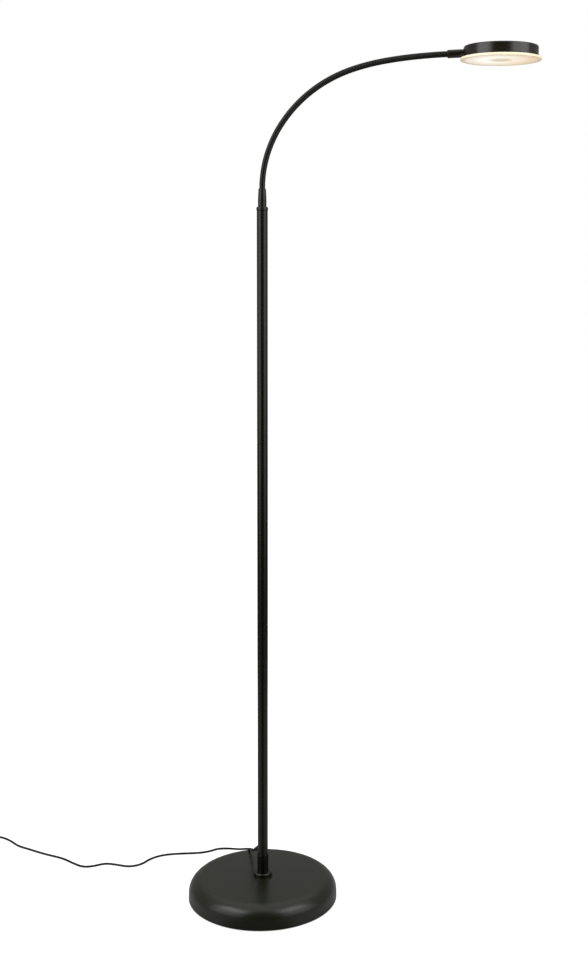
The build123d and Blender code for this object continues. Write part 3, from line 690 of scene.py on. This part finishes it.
disc_centre = head_place @ Vector((0, 0, -disc_gap - disc_thickness))
opal = bpy.data.materials.new("opal_lit")
opal.use_nodes = True
nodes, links = opal.node_tree.nodes, opal.node_tree.links
shader = nodes["Principled BSDF"]
shader.inputs["Base Color"].default_value = (*opal_colour, 1)
shader.inputs["Roughness"].default_value = opal_roughness
shader.inputs["Emission Strength"].default_value = opal_glow
spot = nodes.new("ShaderNodeTexCoord").outputs["Object"]
from_axis = nodes.new("ShaderNodeVectorMath")
from_axis.operation = "DISTANCE"
from_axis.inputs[1].default_value = disc_centre
links.new(spot, from_axis.inputs[0])
outwards = nodes.new("ShaderNodeMapRange")
outwards.inputs["From Max"].default_value = disc_step_radius
links.new(from_axis.outputs["Value"], outwards.inputs["Value"])
rings = nodes.new("ShaderNodeValToRGB")
stops = rings.color_ramp.elements
for position, _ in opal_rings[1:-1]:
    stops.new(position)
for stop, (_, light) in zip(stops, opal_rings):
    stop.color = (*light, 1)
links.new(outwards.outputs[0], rings.inputs["Fac"])
sides = nodes.new("ShaderNodeSeparateXYZ")
links.new(spot, sides.inputs[0])
warmth = nodes.new("ShaderNodeMapRange")
warmth.interpolation_type = "SMOOTHSTEP"
warmth.inputs["From Min"].default_value = disc_centre.x + warm_from * disc_radius
warmth.inputs["From Max"].default_value = disc_centre.x + warm_to * disc_radius
links.new(sides.outputs["X"], warmth.inputs["Value"])
warm = nodes.new("ShaderNodeMix")
warm.data_type = "RGBA"
warm.blend_type = "MULTIPLY"
warm.inputs["B"].default_value = (*warm_tint, 1)
links.new(warmth.outputs[0], warm.inputs["Factor"])
links.new(rings.outputs["Color"], warm.inputs["A"])
links.new(warm.outputs["Result"], shader.inputs["Emission Color"])

clear = bpy.data.materials.new("clear_flange")
clear.use_nodes = True
shader = clear.node_tree.nodes["Principled BSDF"]
shader.inputs["Base Color"].default_value = (*flange_colour, 1)
shader.inputs["Roughness"].default_value = flange_roughness
shader.inputs["Transmission Weight"].default_value = flange_clearness
shader.inputs["Emission Color"].default_value = (*flange_light, 1)
shader.inputs["Emission Strength"].default_value = flange_glow

disc_top = -disc_gap
disc_bottom = disc_top - disc_thickness
disc = turned([
    (0, disc_bottom + disc_step_depth, 0),
    (disc_step_radius, disc_bottom + disc_step_depth, 0),
    (disc_step_radius + disc_step_depth, disc_bottom, 0),
    (disc_radius, disc_bottom, disc_edge_rounding), (disc_radius, disc_top, disc_edge_rounding),
    (hoop_outer, disc_top, 0), (hoop_outer, hoop_top, hoop_rounding),
    (hoop_inner, hoop_top, hoop_rounding), (hoop_inner, disc_top, 0), (0, disc_top, 0)],
    steps=128, closed=False)
for face in disc.faces:
    middle = face.calc_center_median()
    face.material_index = int(Vector((middle.x, middle.y)).length > disc_step_radius
                              and middle.z < disc_top + hoop_clearance)
add_piece("opal_disc", disc, [opal, clear], "head", ["diffuser_disc"],
          place=head_place, crease=40.0)


# ---- Inside the head ----
# White aluminium LED board with its chips and screws, and the small dimmer board under the
# touch button. The opal disc hides them all.
board_finishes = [              # node, finish, colour, roughness, fineness of the grain
    ("led_board", "board_white", (0.82, 0.82, 0.80), 0.4, 700.0),
    ("led_chips", "led_phosphor", (0.86, 0.66, 0.16), 0.35, 3000.0),
    ("touch_board", "board_green", (0.02, 0.11, 0.05), 0.3, 800.0)]

for node, name, colour, roughness, grain in board_finishes:
    finish_nodes(coated(name, colour, roughness, grain), node)
finish_nodes(zinc, "led_board_screws")


# ---- Gland ----
# Soft rubber gland in the back of the lowest tube: a collar against the pole and a tapered,
# grooved nose that the lead runs through, pointing back to the left and down.
cord_diameter = 3.6 * mm
gland_height = 85.0 * mm
gland_turn = radians(140.0)
gland_fall = radians(32.0)
gland_reach = 20.0 * mm
gland_sink = 2.5 * mm
gland_root_radius = 5.0 * mm
gland_tip_radius, gland_tip_rounding = 2.7 * mm, 0.5 * mm
gland_grooves = 3
groove_lead = 1.6               # plain part before the first groove, in groove spacings
groove_depth = 0.4 * mm
groove_half = 0.5 * mm
rubber_colour = (0.009, 0.009, 0.0085)

rubber = coated("black_rubber", rubber_colour, roughness=0.55, grain=1300.0, relief=0.00003)
gland_out = Vector((cos(gland_fall) * cos(gland_turn), cos(gland_fall) * sin(gland_turn),
                    -sin(gland_fall)))
gland_across = gland_out.cross(Vector((0, 0, 1))).normalized()
gland_frame = Matrix((gland_across, gland_out.cross(gland_across), gland_out))
gland_frame = gland_frame.transposed().to_4x4()
gland_frame.translation = (0, 0, gland_height)

gland_start = pole_radius - gland_sink
gland_length = gland_reach - gland_start
taper = (gland_root_radius - gland_tip_radius) / gland_length
outline = [(cord_diameter / 2, gland_start, 0), (gland_root_radius, gland_start, 0)]
for groove in range(gland_grooves):
    middle = gland_length * (groove + groove_lead) / (gland_grooves + groove_lead)
    for offset, cut in ((-groove_half, 0.0), (0.0, groove_depth), (groove_half, 0.0)):
        along = middle + offset
        outline.append((gland_root_radius - taper * along - cut, gland_start + along, 0))
outline += [(gland_tip_radius, gland_reach, gland_tip_rounding),
            (cord_diameter / 2, gland_reach, 0)]
add_piece("gland", turned(outline, steps=48), rubber, "stand", ["cord_gland"],
          place=gland_frame)


# ---- Power lead ----
# Two-core black PVC lead. It leaves the pole through the gland, drops over the base and runs
# along the floor; what the picture doesn't show is wound into a flat coil of two layers beside
# the plug-in adapter. The same lead runs on inside the pole, the neck and the head. Metres.
cord_lead_out = 0.008           # straight on out of the gland
cord_route = [
    (-0.0185, 0.0385, 0.0610), (-0.0208, 0.0670, 0.0488), (-0.0280, 0.0950, 0.0370),
    (-0.0360, 0.1150, 0.0278), (-0.0455, 0.1380, 0.0166), (-0.0575, 0.1590, 0.0076),
    (-0.071, 0.172, 0.0026), (-0.087, 0.1728, 0.0018), (-0.101, 0.161, 0.0018),
    (-0.118, 0.1545, 0.0018), (-0.148, 0.152, 0.0018), (-0.176, 0.147, 0.0018),
    (-0.197, 0.132, 0.0018), (-0.209, 0.108, 0.0018), (-0.229, 0.099, 0.0018),
    (-0.250, 0.107, 0.0018), (-0.270, 0.112, 0.0018), (-0.287, 0.101, 0.0018),
    (-0.304, 0.097, 0.0018), (-0.322, 0.110, 0.0018), (-0.345, 0.131, 0.0018),
    (-0.378, 0.146, 0.0018), (-0.410, 0.166, 0.0018), (-0.431, 0.178, 0.0018),
    (-0.448, 0.199, 0.0018), (-0.467, 0.214, 0.0018), (-0.488, 0.219, 0.0018)]
coil_start = Vector((-0.506, 0.219, 0.0018))
coil_inner_radius = 0.0135
coil_pitch = 0.0048
coil_layer_rise = 0.0044
coil_turns_in = 3.0
coil_climb_turns = 0.5
coil_turns_out = 2.75
coil_points_a_turn = 16
adapter_mouth = Vector((-0.5363, 0.1575, 0.011))
cord_off_floor = 0.35           # part of the way from the coil to the adapter's mouth
cord_lead_in = 0.010            # straight before the mouth
cord_in_relief = 0.008          # and inside it
lead_colour = (0.008, 0.0078, 0.0066)


def coil_point(turns):
    """Point of the put-away coil: inwards on the floor, up a layer, and outwards again."""
    outer = coil_inner_radius + coil_turns_in * coil_pitch
    climb = min(max((turns - coil_turns_in) / coil_climb_turns, 0), 1)
    inward = min(turns, coil_turns_in) * coil_pitch
    outward = max(turns - coil_turns_in - coil_climb_turns, 0) * coil_pitch
    radius = outer - inward + outward
    angle = pi / 2 + 2 * pi * turns
    return coil_start + Vector((radius * cos(angle), radius * sin(angle) - outer,
                                coil_layer_rise * climb))


cord_exit = Vector((0, 0, gland_height)) + gland_out * gland_reach
coil_turns = coil_turns_in + coil_climb_turns + coil_turns_out
coil_steps = round(coil_turns * coil_points_a_turn)
coil_end = coil_point(coil_turns)
route = [cord_exit, cord_exit + gland_out * cord_lead_out]
route += [Vector(point) for point in cord_route]
route += [coil_point(coil_turns * step / coil_steps) for step in range(coil_steps)]
route += [coil_end, coil_end.lerp(adapter_mouth, cord_off_floor),
          adapter_mouth + Vector((0, cord_lead_in, 0)),
          adapter_mouth - Vector((0, cord_in_relief, 0))]

cord_curve = bpy.data.curves.new("power_lead", "CURVE")
cord_curve.dimensions = "3D"
cord_line = cord_curve.splines.new("NURBS")
cord_line.points.add(len(route) - 1)
for spot, place in zip(cord_line.points, route):
    spot.co = (*place, 1)
    spot.radius = cord_diameter / 2
cord_line.order_u = 3
cord_line.use_endpoint_u = True
cord_line.resolution_u = 6
cord_curve.bevel_depth = 1.0    # the points' own radii make the thickness
cord_curve.bevel_resolution = 5
cord_curve.use_fill_caps = True
power_lead = bpy.data.objects.new("power_lead", cord_curve)
scene.collection.objects.link(power_lead)
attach(power_lead, "stand")
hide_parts("power_cord", "cord_coil")

lead_jacket = coated("lead_jacket", lead_colour, roughness=0.55, grain=1400.0,
                     unevenness=0.08, specular=0.3)
cord_curve.materials.append(lead_jacket)
finish_nodes(lead_jacket, "head_lead", "pole_lead",
             *[f"neck_lead_{number}" for number in range(1, link_count + 1)])


# ---- Adapter ----
# Small plug-in power adapter in fine-textured black plastic: a ribbed strain relief, the case,
# a face welded to it along a shadow line, and two part-sleeved nickel pins.
adapter_width, adapter_height, adapter_length = 36.0 * mm, 22.0 * mm, 40.0 * mm
adapter_face_thickness = 4.0 * mm
adapter_edge_radius = 4.0 * mm
case_shoulder = 1.5 * mm
moulded_bevel = 0.4 * mm
seam_gap = 0.25 * mm
relief_length = 12.0 * mm
relief_root, relief_tip, relief_tip_rounding = 3.6 * mm, 2.5 * mm, 0.4 * mm
relief_ribs = 4
rib_start, rib_spacing = 0.18 * relief_length, 0.2 * relief_length
rib_gap, rib_slope = 1.3 * mm, 0.3 * mm
rib_depth, rib_lift = 0.5 * mm, 0.1 * mm
pin_radius, pin_length, pin_spacing, pin_root = 2.0 * mm, 19.0 * mm, 19.0 * mm, 3.0 * mm
pin_tip_rounding = 1.0 * mm
pin_sleeve_length, pin_sleeve_rounding = 10.0 * mm, 0.05 * mm
pin_sleeve_depth, pin_sleeve_slope = 0.15 * mm, 0.1 * mm
plastic_colour = (0.013, 0.013, 0.013)
nickel_colour = (0.66, 0.64, 0.6)

adapter_plastic = coated("adapter_plastic", plastic_colour, roughness=0.5, grain=2200.0,
                         relief=0.00005, unevenness=0.08)
nickel = coated("nickel", nickel_colour, roughness=0.18, grain=600.0, metallic=1.0)
adapter_frame = Matrix(((1, 0, 0, adapter_mouth.x), (0, 0, -1, adapter_mouth.y),
                        (0, 1, 0, adapter_mouth.z), (0, 0, 0, 1)))


def moulded_block(start, length, front_bevel):
    """Rounded block of the adapter's section, from a distance along its axis."""
    same_height = 0.001 * mm
    mesh = bmesh.new()
    bmesh.ops.create_cube(mesh, size=1.0)
    bmesh.ops.scale(mesh, vec=(adapter_width, adapter_height, length), verts=mesh.verts)
    bmesh.ops.translate(mesh, vec=(0, 0, start + length / 2), verts=mesh.verts)
    long_edges = [edge for edge in mesh.edges
                  if abs(edge.verts[0].co.z - edge.verts[1].co.z) > length / 2]
    bmesh.ops.bevel(mesh, geom=long_edges, affect="EDGES", offset=adapter_edge_radius,
                    segments=8, profile=0.5, material=-1)
    for height, bevel in ((start, front_bevel), (start + length, moulded_bevel)):
        rim = [edge for edge in mesh.edges
               if all(abs(spot.co.z - height) < same_height for spot in edge.verts)]
        bmesh.ops.bevel(mesh, geom=rim, affect="EDGES", offset=bevel, segments=3,
                        profile=0.5, material=-1)
    return mesh


case_end = relief_length + adapter_length
case = add_piece("adapter_housing",
                 moulded_block(relief_length, adapter_length - seam_gap, case_shoulder),
                 adapter_plastic, "stand", ["adapter_case"],
                 place=adapter_frame)
plate = add_piece("adapter_plate",
                  moulded_block(case_end, adapter_face_thickness, moulded_bevel),
                  adapter_plastic, "stand", ["adapter_face"],
                  place=adapter_frame)

outline = [(cord_diameter / 2, 0, 0), (relief_tip, 0, relief_tip_rounding)]
for rib in range(relief_ribs):
    start = rib_start + rib_spacing * rib
    radius = relief_tip + (relief_root - relief_tip) * start / relief_length
    outline += [(radius, start, 0), (radius - rib_depth, start + rib_slope, 0),
                (radius - rib_depth, start + rib_gap - rib_slope, 0),
                (radius + rib_lift, start + rib_gap, 0)]
outline += [(relief_root, relief_length, 0), (cord_diameter / 2, relief_length, 0)]
relief = add_piece("adapter_strain_relief", turned(outline, steps=48), rubber, "stand",
                   ["adapter_relief"], place=adapter_frame)

pins = bmesh.new()
face_end = case_end + adapter_face_thickness
sleeve_end = face_end + pin_sleeve_length
bare_radius = pin_radius - pin_sleeve_depth
for side in (-1, 1):
    pin = turned([
        (0, face_end - pin_root, 0), (pin_radius, face_end - pin_root, 0),
        (pin_radius, sleeve_end, pin_sleeve_rounding),
        (bare_radius, sleeve_end + pin_sleeve_slope, 0),
        (bare_radius, face_end + pin_length, pin_tip_rounding),
        (0, face_end + pin_length, 0)], steps=32, closed=False)
    bmesh.ops.translate(pin, vec=(side * pin_spacing / 2, 0, 0), verts=pin.verts)
    for face in pin.faces:
        face.material_index = int(face.calc_center_median().z < sleeve_end)
    one_pin = bpy.data.meshes.new("pin")
    pin.to_mesh(one_pin)
    pin.free()
    pins.from_mesh(one_pin)
    bpy.data.meshes.remove(one_pin)
contacts = add_piece("adapter_contacts", pins, [nickel, adapter_plastic], "stand",
                     ["adapter_pins"], place=adapter_frame)
